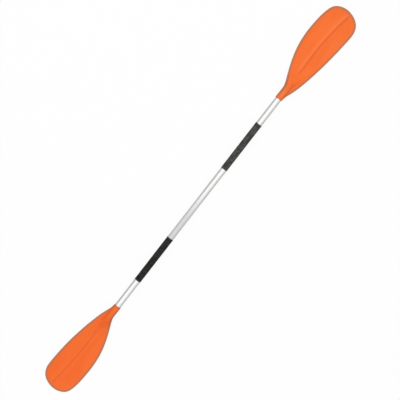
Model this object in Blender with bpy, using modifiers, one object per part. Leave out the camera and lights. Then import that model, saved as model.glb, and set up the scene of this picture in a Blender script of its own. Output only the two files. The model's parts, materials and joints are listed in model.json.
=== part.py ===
"""Two-piece kayak paddle: aluminium shaft, moulded blades, foam-rubber grips, snap-button ferrule.

Units are metres. The paddle lies on the backs of its blades, so z = 0 is the surface it rests on.
+X runs along the shaft towards the right blade, +Z is the side of the power faces, and the seam
between the two halves is at x = 0. Turning the paddle half a turn about Z swaps its two ends.
"""

import math

import bmesh
import bpy
import numpy as np
from mathutils import Matrix, Vector

# ---------------------------------------------------------------- driving dimensions
LENGTH = 2.200              # tip to tip
AXIS_HEIGHT = 0.0202        # shaft axis above the surface that the blades rest on
CLEARANCE = 0.0003          # between pieces that touch
SIDES = 32                  # facets round every turned piece of the shaft

TUBE_RADIUS = 0.0150
TUBE_WALL = 0.0015
TUBE_BORE = TUBE_RADIUS - TUBE_WALL
SEAM_GAP = 0.0003           # hairline between the two tube ends

BLADE_LENGTH = 0.4975       # neck mouth to tip
SOCKET_DEPTH = 0.070        # how far the tube enters the blade's neck
NECK_RADIUS = 0.0170
MOUTH_X = LENGTH / 2 - BLADE_LENGTH
TUBE_END_X = MOUTH_X + SOCKET_DEPTH

GRIP_START_X = 0.2005       # from the seam to the near end of each sleeve
GRIP_LENGTHS = {"left": 0.2505, "right": 0.2595}   # cut by hand, so not quite the same
GRIP_WALL = 0.0007

SPIGOT_IN_RIGHT = 0.070     # glued and riveted length
SPIGOT_IN_LEFT = 0.090      # sliding length
SPIGOT_RADIUS = TUBE_BORE - CLEARANCE
SPIGOT_BORE = 0.0105
FERRULE_RIVETS_X = (0.022, 0.050)
SEAL_X = -0.068
SEAL_RADIUS = 0.0126        # centre line of the ring
SEAL_THICK = 0.0014

BUTTON_X = -0.025
BUTTON_RADIUS = 0.0038
BUTTON_TOP = 0.0168         # from the shaft axis to the crown of the dome
BUTTON_FLANGE = 0.0052
BUTTON_SHOULDER = math.sqrt((SPIGOT_BORE - CLEARANCE) ** 2 - BUTTON_FLANGE ** 2)
BUTTON_FOOT = BUTTON_SHOULDER - 0.0012
BUTTON_HOLE = 0.0041
FEATHER_ANGLES = (-60, 0, 60)
SPRING_WIDTH = 0.0070
SPRING_THICK = 0.0006
SPRING_BEND_X = 0.012

RIVET_SHANK = 0.0020
RIVET_HEAD = 0.0038
RIVET_HOLE = RIVET_SHANK + CLEARANCE
NECK_RIVETS_X = (0.022, 0.050)   # from the neck's mouth

# Blade edges in plan, from the neck's mouth to the end of the ridge: (along the shaft, across it).
STRAIGHT_EDGE = (
    (0.0000, -0.0170), (0.0240, -0.0210), (0.0530, -0.0315), (0.1135, -0.0495), (0.2035, -0.0680),
    (0.3035, -0.0820), (0.3985, -0.0893), (0.4405, -0.0868), (0.4715, -0.0690), (0.4880, -0.0440),
    (0.4960, -0.0180),
)
CURVED_EDGE = (
    (0.0000, 0.0170), (0.0320, 0.0163), (0.0585, 0.0168), (0.0935, 0.0285), (0.1535, 0.0525),
    (0.2235, 0.0733), (0.3035, 0.0835), (0.3735, 0.0822), (0.4385, 0.0735), (0.4745, 0.0580),
    (0.4945, 0.0240), (0.4960, -0.0180),
)
BLADE_STATIONS = 34
BLADE_COLUMNS = 10          # from the ridge to each edge

SHEET_HALF = 0.0022         # half the blade's thickness at its ridge
EDGE_HALF = 0.0017          # and near its edges
RIM_WIDTH = 0.0045          # rounded margin
CAMBER_DEPTH = 0.0190       # how far the blade dips behind the shaft axis
CAMBER_START, CAMBER_LOW = 0.0535, 0.3035
TIP_RISE = 0.0270           # from the lowest point forwards to the tip
CUP_DEPTH = 0.0050          # how far the edges stand forward of the ridge line
CUP_HALF_WIDTH = 0.085
CUP_RAMP = (0.0835, 0.2635)  # where the cup deepens
RIDGE_HEIGHT = 0.0024
RIDGE_START, RIDGE_FULL = 0.1200, 0.1850
RIDGE_END = (0.4635, 0.4915)  # where it fades out at the tip
RIDGE_BEND_START, RIDGE_BEND = 0.2500, 0.0220
FACE_RAMP = (0.076, 0.130)  # where the neck runs out into the power face
FACE_END_RADIUS = 0.0300    # it widens as it sinks
BACK_RIB = (0.076, 0.240)   # and into the back
BACK_RIB_RADIUS = 0.0070

# ---------------------------------------------------------------- finishes
FINISHES = {
    "orange_plastic": ((0.93, 0.17, 0.035), 0.42, 0.0),
    "aluminium": ((0.80, 0.81, 0.83), 0.30, 1.0),
    "grip_rubber": ((0.018, 0.018, 0.020), 0.75, 0.0),
    "black_nylon": ((0.025, 0.025, 0.028), 0.50, 0.0),
    "steel": ((0.62, 0.62, 0.63), 0.25, 1.0),
    "foam": ((0.70, 0.70, 0.66), 0.90, 0.0),
    "seal_rubber": ((0.020, 0.020, 0.020), 0.60, 0.0),
}


def clear_scene():
    for obj in list(bpy.data.objects):
        bpy.data.objects.remove(obj, do_unlink=True)


def collection(name):
    made = bpy.data.collections.new(name)
    bpy.context.scene.collection.children.link(made)
    return made


def finish_material(node, finish):
    colour, roughness, metallic = FINISHES[finish]
    made = bpy.data.materials.new(f"{node}_{finish}")
    made.use_nodes = True
    shader = made.node_tree.nodes["Principled BSDF"]
    shader.inputs["Base Color"].default_value = (*colour, 1.0)
    shader.inputs["Roughness"].default_value = roughness
    shader.inputs["Metallic"].default_value = metallic
    made.diffuse_color = (*colour, 1.0)
    return made


def add_object(name, mesh, finish, body):
    obj = bpy.data.objects.new(name, mesh)
    PARTS.objects.link(obj)
    obj.parent = BODIES[body]
    mesh.materials.append(finish_material(name, finish))
    return obj


def add_body(name, location):
    empty = bpy.data.objects.new(name, None)
    empty.location = location
    empty.empty_display_size = 0.02
    PARTS.objects.link(empty)
    return empty


def smooth(mesh, angle=35):
    mesh.shade_smooth()
    mesh.set_sharp_from_angle(angle=math.radians(angle))


# ---------------------------------------------------------------- turned pieces
def turned(name, profile, finish, body, closed=False):
    """A piece turned about the shaft's axis. profile: (radius, x) from its high-x end down its outer side."""
    points = [(radius, 0.0, x) for radius, x in profile]
    edges = [(i, i + 1) for i in range(len(points) - 1)]
    if closed:
        edges.append((len(points) - 1, 0))
    mesh = bpy.data.meshes.new(name)
    mesh.from_pydata(points, edges, [])
    obj = add_object(name, mesh, finish, body)
    obj.rotation_euler = (0.0, math.pi / 2, 0.0)
    add_screw(obj, SIDES)
    return obj


def add_screw(obj, steps):
    screw = obj.modifiers.new("turn", "SCREW")
    screw.axis = "Z"
    screw.angle = math.tau
    screw.steps = steps
    screw.render_steps = steps
    screw.use_merge_vertices = True
    screw.merge_threshold = 1e-5
    screw.use_smooth_shade = True


def ring_profile(inner, outer, low_x, high_x, bevel=0.0):
    """Closed section of a sleeve, with its outer corners chamfered."""
    if not bevel:
        return [(outer, high_x), (outer, low_x), (inner, low_x), (inner, high_x)]
    return [
        (outer - bevel, high_x), (outer, high_x - bevel), (outer, low_x + bevel),
        (outer - bevel, low_x), (inner, low_x), (inner, high_x),
    ]


def radial_place(obj, x, angle_deg=0.0):
    """Stands a piece made along +Z on the shaft at x, pointing backwards, turned about the shaft."""
    turn = Matrix.Rotation(math.radians(angle_deg), 4, "X") @ Matrix.Rotation(math.pi, 4, "X")
    obj.matrix_local = Matrix.Translation((x, 0.0, 0.0)) @ turn


def radial_turned(name, profile, finish, body, x, steps=20):
    """A piece turned about a radius of the shaft. profile: (radius, distance from the shaft axis)."""
    points = [(radius, 0.0, height) for radius, height in profile]
    mesh = bpy.data.meshes.new(name)
    mesh.from_pydata(points, [(i, i + 1) for i in range(len(points) - 1)], [])
    obj = add_object(name, mesh, finish, body)
    radial_place(obj, x - obj.parent.location.x)
    add_screw(obj, steps)
    return obj


# ---------------------------------------------------------------- cutters
def cylinder_cutter(name, radius, low, high, matrix, sides):
    """A cutter along its own Z from low to high, placed by matrix in world space."""
    mesh = bpy.data.meshes.new(name)
    shape = bmesh.new()
    bmesh.ops.create_cone(
        shape, cap_ends=True, segments=sides, radius1=radius, radius2=radius, depth=high - low
    )
    bmesh.ops.translate(shape, verts=shape.verts, vec=(0.0, 0.0, (high + low) / 2))
    shape.to_mesh(mesh)
    shape.free()
    obj = bpy.data.objects.new(name, mesh)
    CUTTERS.objects.link(obj)
    obj.matrix_world = matrix
    obj.hide_render = True
    obj.display_type = "WIRE"
    return obj


def cut(obj, cutter):
    modifier = obj.modifiers.new(cutter.name, "BOOLEAN")
    modifier.operation = "DIFFERENCE"
    modifier.solver = "EXACT"
    modifier.object = cutter


def drill(name, targets, x, angle_deg, radius, low=0.011, high=0.020):
    """A radial hole through one side of the targets, pointing backwards when the angle is 0."""
    turn = Matrix.Rotation(math.radians(angle_deg), 4, "X") @ Matrix.Rotation(math.pi, 4, "X")
    place = Matrix.Translation((x, 0.0, AXIS_HEIGHT)) @ turn
    cutter = cylinder_cutter(name, radius, low, high, place, 20)
    for target in targets:
        cut(target, cutter)


# ---------------------------------------------------------------- blade surface
def smoothstep(value, low, high):
    part = np.clip((np.asarray(value, float) - low) / (high - low), 0.0, 1.0)
    return part * part * (3.0 - 2.0 * part)


def smooth_curve(points):
    """The natural cubic through the points: (a function from length along it, length at each point)."""
    points = np.array(points)
    knots = np.concatenate([[0.0], np.cumsum(np.linalg.norm(np.diff(points, axis=0), axis=1))])
    step = np.diff(knots)
    count = len(points)
    system = np.eye(count)
    right = np.zeros((count, 2))
    slope = np.diff(points, axis=0) / step[:, None]
    for i in range(1, count - 1):
        system[i, i - 1:i + 2] = step[i - 1], 2 * (step[i - 1] + step[i]), step[i]
        right[i] = 6 * (slope[i] - slope[i - 1])
    bend = np.linalg.solve(system, right)

    def at_knot(value):
        i = np.clip(np.searchsorted(knots, value, side="right") - 1, 0, count - 2)
        before = (knots[i + 1] - value)[:, None]
        after = (value - knots[i])[:, None]
        gap = step[i][:, None]
        return (
            (bend[i] * before ** 3 + bend[i + 1] * after ** 3) / (6 * gap)
            + (points[i] / gap - bend[i] * gap / 6) * before
            + (points[i + 1] / gap - bend[i + 1] * gap / 6) * after
        )

    fine = np.linspace(0.0, knots[-1], 4000)
    pieces = np.linalg.norm(np.diff(at_knot(fine), axis=0), axis=1)
    length = np.concatenate([[0.0], np.cumsum(pieces)])
    return lambda along: at_knot(np.interp(along, length, fine)), np.interp(knots, fine, length)


def ridge_y(x):
    """The ridge follows the shaft's line, then bends towards the straight edge."""
    bend = np.clip((x - RIDGE_BEND_START) / (BLADE_LENGTH - RIDGE_BEND_START), 0.0, None)
    return -RIDGE_BEND * bend ** 2


def outline_distance(x, y, outline):
    """Distance in plan from each point to the blade's outline."""
    start, end = outline[:-1], outline[1:]
    run = end - start
    point = np.stack([np.ravel(x), np.ravel(y)], axis=1)[:, None, :]
    along = ((point - start) * run).sum(axis=2) / (run ** 2).sum(axis=1)
    nearest = start + np.clip(along, 0.0, 1.0)[..., None] * run
    return np.linalg.norm(point - nearest, axis=2).min(axis=1).reshape(np.shape(x))


def middle_height(x, y):
    """The blade's middle surface: spooned along its length and cupped across it."""
    dip = -CAMBER_DEPTH * smoothstep(x, CAMBER_START, CAMBER_LOW)
    rise = TIP_RISE * np.clip((x - CAMBER_LOW) / (BLADE_LENGTH - CAMBER_LOW), 0.0, None) ** 2
    cup = CUP_DEPTH * smoothstep(x, *CUP_RAMP) * (y / CUP_HALF_WIDTH) ** 2
    return dip + rise + cup


def half_sheet(y, distance):
    """Half the moulding's thickness, rounded off along the rim."""
    flat = EDGE_HALF + (SHEET_HALF - EDGE_HALF) * np.exp(-((y / 0.045) ** 2))
    inside = np.clip(distance / RIM_WIDTH, 0.0, 1.0)
    return flat * np.sqrt(1.0 - (1.0 - inside) ** 2)


def neck_bulge(x, y, fade, end_radius):
    """How far the round neck stands off the middle surface, running out over the fade."""
    left = 1.0 - smoothstep(x, *fade)
    radius = end_radius + (NECK_RADIUS - end_radius) * left
    return NECK_RADIUS * left * np.sqrt(np.clip(1.0 - (y / radius) ** 2, 0.0, None))


def filleted(x, sheet, bulge):
    """The higher of sheet and bulge, with a fillet in the corner that grows away from the mouth."""
    width = 0.0010 + 0.0120 * smoothstep(x, 0.010, 0.080)
    apart = np.clip(1.0 - np.abs(sheet - bulge) / width, 0.0, None)
    corner = np.clip(sheet / EDGE_HALF, 0.0, 1.0) * np.clip(bulge / EDGE_HALF, 0.0, 1.0)
    return np.maximum(sheet, bulge) + corner * width * apart ** 2 / 4


def ridge_relief(x, y):
    """The power face's ridge: steep towards the straight edge, gentle towards the curved one."""
    across = y - ridge_y(x)
    reach = np.where(across < 0.0, 0.004, 0.030)
    length = smoothstep(x, RIDGE_START, RIDGE_FULL) * (1.0 - smoothstep(x, *RIDGE_END))
    return RIDGE_HEIGHT * length * np.exp(-np.abs(across) / reach)


def face_height(x, y, distance):
    inner = np.clip(distance / RIM_WIDTH, 0.0, 1.0)
    sheet = half_sheet(y, distance) + ridge_relief(x, y) * inner
    return middle_height(x, y) + filleted(x, sheet, neck_bulge(x, y, FACE_RAMP, FACE_END_RADIUS))


def back_height(x, y, distance):
    sheet = half_sheet(y, distance)
    back = middle_height(x, y) - filleted(x, sheet, neck_bulge(x, y, BACK_RIB, BACK_RIB_RADIUS))
    return np.maximum(back, -AXIS_HEIGHT)


def blade_mesh():
    """A loft of closed sections from the neck's mouth to the end of the ridge.

    Each section runs from the straight edge over the ridge to the curved edge, and back underneath.
    """
    edge, lengths = smooth_curve(STRAIGHT_EDGE + CURVED_EDGE[-2::-1])
    whole, ridge_end = lengths[-1], lengths[len(STRAIGHT_EDGE) - 1]
    outline = edge(np.linspace(0.0, whole, 500))

    turn = np.linspace(0.0, 1.0, BLADE_STATIONS + 1)
    along = turn - 0.5 * np.sin(math.tau * turn) / math.tau
    straight = edge(along * ridge_end)
    curved = edge(whole - along * (whole - ridge_end))
    tip_x = STRAIGHT_EDGE[-1][0]
    ridge_x = (whole - ridge_end) * along - (whole - ridge_end - tip_x) * along ** 3
    ridge = np.stack([ridge_x, ridge_y(ridge_x)], axis=1)
    ridge[-1] = STRAIGHT_EDGE[-1]

    spread = 0.5 * (1.0 - np.cos(math.pi * np.linspace(0.0, 1.0, BLADE_COLUMNS + 1)))

    shape = bmesh.new()
    rings = []
    for k in range(BLADE_STATIONS):
        left = ridge[k] + (straight[k] - ridge[k]) * spread[::-1, None]
        right = ridge[k] + (curved[k] - ridge[k]) * spread[1:, None]
        x, y = np.concatenate([left, right]).T
        distance = outline_distance(x, y, outline)
        distance[[0, -1]] = 0.0
        if k == 0:
            distance[1:-1] = RIM_WIDTH
        top = face_height(x, y, distance)
        back = back_height(x, y, distance)
        upper = list(zip(x, y, top))
        lower = list(zip(x, y, back))[-2:0:-1]
        rings.append([shape.verts.new(point) for point in upper + lower])
    tip = shape.verts.new((*ridge[-1], float(middle_height(*ridge[-1]))))

    count = len(rings[0])
    shape.faces.new(rings[0])
    for first, second in zip(rings, rings[1:]):
        for i in range(count):
            j = (i + 1) % count
            shape.faces.new((first[i], second[i], second[j], first[j]))
    for i in range(count):
        shape.faces.new((rings[-1][i], tip, rings[-1][(i + 1) % count]))
    bmesh.ops.recalc_face_normals(shape, faces=shape.faces)
    bmesh.ops.triangulate(shape, faces=[face for face in shape.faces if len(face.verts) == 4])
    mesh = bpy.data.meshes.new("blade")
    shape.to_mesh(mesh)
    shape.free()
    smooth(mesh, 40)
    return mesh


# ---------------------------------------------------------------- sub-parts
def make_tube(side, body):
    """One half of the shaft, from the seam to the bottom of its blade's socket."""
    ends = sorted((side * SEAM_GAP / 2, side * TUBE_END_X))
    profile = ring_profile(TUBE_BORE, TUBE_RADIUS, *ends)
    return turned(f"{body.split('_')[0]}_shaft_tube", profile, "aluminium", body, closed=True)


def make_blade(side, body):
    """A blade on the end of its tube, with its blind socket and rivet holes."""
    name = f"{body.split('_')[0]}_blade"
    blade = add_object(name, blade_mesh(), "orange_plastic", body)
    turn = 0.0 if side > 0 else math.pi
    blade.location = (side * MOUTH_X, 0.0, 0.0)
    blade.rotation_euler = (0.0, 0.0, turn)
    along_x = Matrix.Rotation(math.pi / 2, 4, "Y")
    place = Matrix.Translation((0.0, 0.0, AXIS_HEIGHT)) @ Matrix.Rotation(turn, 4, "Z") @ along_x
    bottom = TUBE_END_X + 0.004
    socket = cylinder_cutter(
        f"{name}_socket", TUBE_RADIUS + CLEARANCE, MOUTH_X - 0.01, bottom, place, SIDES
    )
    cut(blade, socket)
    return blade


def make_grip(side, body):
    """A thin rubber sleeve shrunk onto the tube, with eased ends."""
    word = body.split("_")[0]
    inner = TUBE_RADIUS + CLEARANCE
    ends = sorted((side * GRIP_START_X, side * (GRIP_START_X + GRIP_LENGTHS[word])))
    profile = ring_profile(inner, inner + GRIP_WALL, *ends, bevel=GRIP_WALL * 0.6)
    return turned(f"{word}_grip", profile, "grip_rubber", body, closed=True)


def make_bung(name, body, low_x, high_x):
    """A foam plug that keeps water out of the tube."""
    radius = TUBE_BORE - CLEARANCE
    ease = 0.0015
    profile = [
        (0.0, high_x), (radius - ease, high_x), (radius, high_x - ease),
        (radius, low_x + ease), (radius - ease, low_x), (0.0, low_x),
    ]
    return turned(name, profile, "foam", body)


def make_end_plug(side, body):
    """A push-in cap in the tube's outer end, with a flange on the end face."""
    skirt, wall, flange = 0.014, 0.0018, 0.0022
    face = TUBE_END_X + CLEARANCE
    fit = TUBE_BORE - CLEARANCE
    lip = TUBE_RADIUS - 0.0006
    profile = [
        (0.0, face + flange), (lip, face + flange), (lip, face), (fit, face),
        (fit, face - skirt), (fit - wall, face - skirt), (fit - wall, face), (0.0, face),
    ]
    if side < 0:
        profile = [(radius, -x) for radius, x in reversed(profile)]
    return turned(f"{body.split('_')[0]}_tube_plug", profile, "black_nylon", body)


def make_spigot():
    """The inner half of the ferrule: a nylon sleeve fixed in the right tube, with a groove for the seal."""
    low, high, ease = -SPIGOT_IN_LEFT, SPIGOT_IN_RIGHT, 0.0015
    groove = SEAL_THICK / 2 + CLEARANCE
    floor = SEAL_RADIUS - groove
    profile = [
        (SPIGOT_RADIUS, high), (SPIGOT_RADIUS, SEAL_X + groove), (floor, SEAL_X + groove),
        (floor, SEAL_X - groove), (SPIGOT_RADIUS, SEAL_X - groove), (SPIGOT_RADIUS, low + ease),
        (SPIGOT_RADIUS - ease, low), (SPIGOT_BORE, low), (SPIGOT_BORE, high),
    ]
    return turned("ferrule_spigot", profile, "black_nylon", "right_half", closed=True)


def make_seal():
    """A rubber ring in the spigot's groove."""
    radius = SEAL_THICK / 2
    profile = [
        (SEAL_RADIUS + radius * math.cos(angle), radius * math.sin(angle))
        for angle in np.linspace(math.pi / 2, math.pi / 2 - math.tau, 10, endpoint=False)
    ]
    return turned("seal_ring", profile, "seal_rubber", "seal", closed=True)


def make_button():
    """A domed steel button with a flange that stops it inside the spigot."""
    crown = 0.0016
    dome = [
        (BUTTON_RADIUS * math.sin(angle), BUTTON_TOP - crown + crown * math.cos(angle))
        for angle in np.linspace(0.0, math.pi / 2, 6)
    ]
    neck = [(BUTTON_RADIUS, BUTTON_SHOULDER), (BUTTON_FLANGE, BUTTON_SHOULDER)]
    foot = [(BUTTON_FLANGE, BUTTON_FOOT), (0.0, BUTTON_FOOT)]
    return radial_turned("snap_button", dome + neck + foot, "steel", "button", BUTTON_X)


def make_button_spring():
    """A hairpin of spring strip: one leg behind the button, the other against the spigot's far wall."""
    back = -(BUTTON_FOOT - CLEARANCE - SPRING_THICK / 2)
    wall = math.sqrt((SPIGOT_BORE - CLEARANCE) ** 2 - (SPRING_WIDTH / 2) ** 2)
    front = wall - CLEARANCE - SPRING_THICK / 2
    half = (front - back) / 2
    middle = (front + back) / 2
    start_x = BUTTON_X - BUTTON_FLANGE
    bend_x = SPRING_BEND_X - half
    points = [(start_x, back), (bend_x, back)]
    points += [
        (bend_x + half * math.cos(angle), middle + half * math.sin(angle))
        for angle in np.linspace(-math.pi / 2, math.pi / 2, 13)[1:-1]
    ]
    points += [(bend_x, front), (start_x - 0.006, front)]
    mesh = bpy.data.meshes.new("button_spring")
    shape = bmesh.new()
    sides = (-SPRING_WIDTH / 2, SPRING_WIDTH / 2)
    rows = [[shape.verts.new((x, y, z)) for y in sides] for x, z in points]
    for first, second in zip(rows, rows[1:]):
        shape.faces.new((first[0], second[0], second[1], first[1]))
    shape.to_mesh(mesh)
    shape.free()
    smooth(mesh)
    spring = add_object("button_spring", mesh, "steel", "right_half")
    thickness = spring.modifiers.new("thickness", "SOLIDIFY")
    thickness.thickness = SPRING_THICK
    thickness.offset = 0.0
    return spring


def make_rivet(name, body, x, surface, inner):
    """A blind rivet: domed head outside, shank through the wall, rolled tail inside."""
    seat = surface + CLEARANCE
    dome = [
        (RIVET_HEAD * math.sin(angle), seat + 0.0004 + 0.0010 * math.cos(angle))
        for angle in np.linspace(0.0, math.pi / 2, 5)
    ]
    shank = [(RIVET_HEAD, seat), (RIVET_SHANK, seat), (RIVET_SHANK, inner - CLEARANCE)]
    tail = [
        (RIVET_SHANK * 1.35, inner - 2 * CLEARANCE), (RIVET_SHANK * 1.35, inner - 0.0024),
        (RIVET_SHANK * 0.8, inner - 0.0032), (0.0, inner - 0.0032),
    ]
    return radial_turned(name, dome + shank + tail, "aluminium", body, x, steps=12)


def make_half(side, body):
    """Everything that both halves have."""
    word = body.split("_")[0]
    tube = make_tube(side, body)
    blade = make_blade(side, body)
    make_grip(side, body)
    make_end_plug(side, body)
    for number, distance in enumerate(NECK_RIVETS_X, 1):
        x = side * (MOUTH_X + distance)
        make_rivet(f"{word}_blade_rivet_{number}", body, x, NECK_RADIUS, TUBE_BORE)
        drill(f"{word}_blade_rivet_hole_{number}", (tube, blade), x, 0, RIVET_HOLE)
    return tube


def build():
    left_tube = make_half(-1, "left_half")
    right_tube = make_half(1, "right_half")
    make_bung("left_foam_bung", "left_half", -SPIGOT_IN_LEFT - 0.035, -SPIGOT_IN_LEFT - 0.010)
    make_bung("right_foam_bung", "right_half", SPIGOT_IN_RIGHT + 0.010, SPIGOT_IN_RIGHT + 0.035)

    spigot = make_spigot()
    make_seal()
    make_button()
    make_button_spring()
    for angle in FEATHER_ANGLES:
        drill(f"feather_hole_{angle + 60}", (left_tube,), BUTTON_X, angle, BUTTON_HOLE, 0.0115)
    drill("button_guide", (spigot,), BUTTON_X, 0, BUTTON_HOLE, 0.009)
    for number, x in enumerate(FERRULE_RIVETS_X, 1):
        make_rivet(f"ferrule_rivet_{number}", "right_half", x, TUBE_RADIUS, SPIGOT_BORE)
        drill(f"ferrule_rivet_hole_{number}", (right_tube, spigot), x, 0, RIVET_HOLE, 0.008)


clear_scene()
PARTS = collection("kayak_paddle")
CUTTERS = collection("cutters")
CUTTERS.hide_render = True
AXIS = Vector((0.0, 0.0, AXIS_HEIGHT))
BODIES = {
    "left_half": add_body("left_half", AXIS),
    "right_half": add_body("right_half", AXIS),
    "seal": add_body("seal", AXIS + Vector((SEAL_X, 0.0, 0.0))),
    "button": add_body("button", AXIS + Vector((BUTTON_X, 0.0, 0.0))),
}
bpy.context.view_layer.update()
build()
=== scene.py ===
"""Looks of the two-piece kayak paddle: its fine surfaces, finishes, light and camera.

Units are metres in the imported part's own frame: +X along the shaft towards the right blade, +Z out of
the power faces, and z = 0 the surface that the backs of the blades rest on.
"""

import json
import math

import bmesh
import bpy
import numpy as np
from mathutils import Matrix, Vector


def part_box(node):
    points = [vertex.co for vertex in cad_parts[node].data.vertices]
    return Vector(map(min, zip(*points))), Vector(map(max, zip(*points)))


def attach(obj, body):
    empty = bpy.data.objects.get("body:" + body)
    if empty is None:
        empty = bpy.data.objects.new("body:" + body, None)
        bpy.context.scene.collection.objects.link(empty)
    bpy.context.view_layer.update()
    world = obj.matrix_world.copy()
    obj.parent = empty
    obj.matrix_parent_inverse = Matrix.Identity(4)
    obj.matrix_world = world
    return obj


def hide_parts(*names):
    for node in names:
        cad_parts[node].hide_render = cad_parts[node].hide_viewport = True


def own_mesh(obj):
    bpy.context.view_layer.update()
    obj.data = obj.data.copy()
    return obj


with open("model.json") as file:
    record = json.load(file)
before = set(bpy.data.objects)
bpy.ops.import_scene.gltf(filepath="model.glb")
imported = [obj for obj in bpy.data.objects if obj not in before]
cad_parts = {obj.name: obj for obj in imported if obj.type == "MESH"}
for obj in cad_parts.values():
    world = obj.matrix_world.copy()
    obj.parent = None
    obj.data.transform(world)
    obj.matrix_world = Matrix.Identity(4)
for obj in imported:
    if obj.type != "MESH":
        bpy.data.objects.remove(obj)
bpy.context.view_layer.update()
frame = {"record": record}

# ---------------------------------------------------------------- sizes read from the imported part
TUBE_LOW, TUBE_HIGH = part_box("right_shaft_tube")
AXIS_HEIGHT = (TUBE_LOW.z + TUBE_HIGH.z) / 2
TUBE_RADIUS = (TUBE_HIGH.z - TUBE_LOW.z) / 2
MOUTH_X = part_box("right_blade")[0].x
BODY_OF = {
    node: body for body, nodes in frame["record"]["behaviour"]["bodies"].items() for node in nodes
}

# ---------------------------------------------------------------- shaft and hardware
SIDES = 96                  # facets round a turned piece
TUBE_WALL = 0.0015
TUBE_BORE = TUBE_RADIUS - TUBE_WALL
TUBE_EASE = 0.0003          # rounding of the tube's sawn ends
CLEARANCE = 0.0003
SOCKET_DEPTH = 0.074
NECK_RADIUS = 0.0170
MOUTH_LIP = 0.0006          # rounding of the neck's mouth

GRIP_BAND = 0.0060          # plain band at each end of a sleeve
GRIP_STRANDS = 10           # raised strands round the sleeve, in each direction
GRIP_PITCH = 0.0110         # along the shaft, from strand to strand
GRIP_STRAND_WIDTH = 0.16    # half width, as a share of the distance between strands
GRIP_RELIEF = 0.00040

SPIGOT_BORE = 0.0105
SEAL_RADIUS = 0.0126
RIVET_SHANK = 0.0020
RIVET_HEAD = 0.0038
RIVET_HOLE = 0.0023
MANDREL_HOLE = 0.0010
DRILL_OVERRUN = 0.0010      # how far a hole's cutter reaches past the surface
BUTTON_HOLE = 0.0041
BUTTON_CHAMFER = 0.0003
FEATHER_ANGLES = (-60, 0, 60)

# ---------------------------------------------------------------- blade: the same surface as the CAD's
STRAIGHT_EDGE = (
    (0.0000, -0.0170), (0.0240, -0.0210), (0.0530, -0.0315), (0.1135, -0.0495), (0.2035, -0.0680),
    (0.3035, -0.0820), (0.3985, -0.0893), (0.4405, -0.0868), (0.4715, -0.0690), (0.4880, -0.0440),
    (0.4960, -0.0180),
)
CURVED_EDGE = (
    (0.0000, 0.0170), (0.0320, 0.0163), (0.0585, 0.0168), (0.0935, 0.0285), (0.1535, 0.0525),
    (0.2235, 0.0733), (0.3035, 0.0835), (0.3735, 0.0822), (0.4385, 0.0735), (0.4745, 0.0580),
    (0.4945, 0.0240), (0.4960, -0.0180),
)
BLADE_LENGTH = 0.4975
BLADE_STATIONS = 170
BLADE_COLUMNS = 44          # from the ridge to each edge
SHEET_HALF = 0.0022
EDGE_HALF = 0.0017
RIM_WIDTH = 0.0045
CAMBER_DEPTH = 0.0190
CAMBER_START, CAMBER_LOW = 0.0535, 0.3035
TIP_RISE = 0.0270
CUP_DEPTH = 0.0050
CUP_HALF_WIDTH = 0.085
CUP_RAMP = (0.0835, 0.2635)
RIDGE_HEIGHT = 0.0024
RIDGE_START, RIDGE_FULL = 0.1200, 0.1850
RIDGE_END = (0.4635, 0.4915)
RIDGE_BEND_START, RIDGE_BEND = 0.2500, 0.0220
FACE_RAMP = (0.076, 0.130)
FACE_END_RADIUS = 0.0300
BACK_RIB = (0.076, 0.240)
BACK_RIB_RADIUS = 0.0070

# ---------------------------------------------------------------- painted shade and highlights on the moulding, by place
RIM_SHADE_MIDDLE, RIM_SHADE_WIDTH = 0.0036, 0.0072      # painted shade in a band along the edge, by distance from it
MOUTH_SHADE = 0.0100                            # and painted shade round the neck's mouth
CREASE_MIDDLE, CREASE_WIDTH = -0.0050, 0.0042   # painted shade: dark line on the ridge's steep side
CREST_MIDDLE, CREST_WIDTH = 0.0060, 0.0065      # painted highlight: pale line on its gentle side
NECK_CREST_WIDTH = 0.0080                       # and a painted highlight along the top of the neck
ROOT_CENTRE = (0.100, -0.004)                   # painted shade: dark patch where the neck runs out
ROOT_REACH = (0.045, 0.014)

# ---------------------------------------------------------------- camera, light and floor
CAMERA_DISTANCE = 5.0
CAMERA_TILT = math.radians(6.63)    # the view leans towards the right blade
CAMERA_LEAN = math.radians(7.29)    # and towards +Y
SHAFT_SLOPE = math.radians(52.19)   # of the shaft in the picture, above the horizontal
CAMERA_LENS = 98.48
VIEW_OFFSET = (0.0136, 0.0175)      # of the view's centre from the shaft's middle, right and up
FLOOR_SIZE = 40.0
FLOOR_DROP = 0.0003                 # below the blades' backs, so that no faces coincide
FLOOR_GLOW, FLOOR_SHEET = 0.93, 0.06    # what the camera sees: its own light and what it scatters
FLOOR_BOUNCE = 0.5                  # what it sends back to the paddle
WORLD_SEEN = 0.99
WORLD_OVERHEAD, WORLD_HORIZON = 0.86, 0.42
WORLD_FALL = (0.0, 0.55)            # heights on a unit dome between which the light falls off
SOFTBOXES = (
    # centre, size along X and Y, watts, whether it is turned towards the paddle's middle
    ((0.85, 0.75, 3.0), (2.3, 1.8), 12.0, False),
    ((-1.75, 0.75, 3.0), (1.5, 1.8), 7.0, False),
    ((4.2, 3.3, 5.0), (2.0, 2.0), 60.0, True),
)


# ---------------------------------------------------------------- mesh helpers
def middle_x(node):
    low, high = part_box(node)
    return (low.x + high.x) / 2


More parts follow.
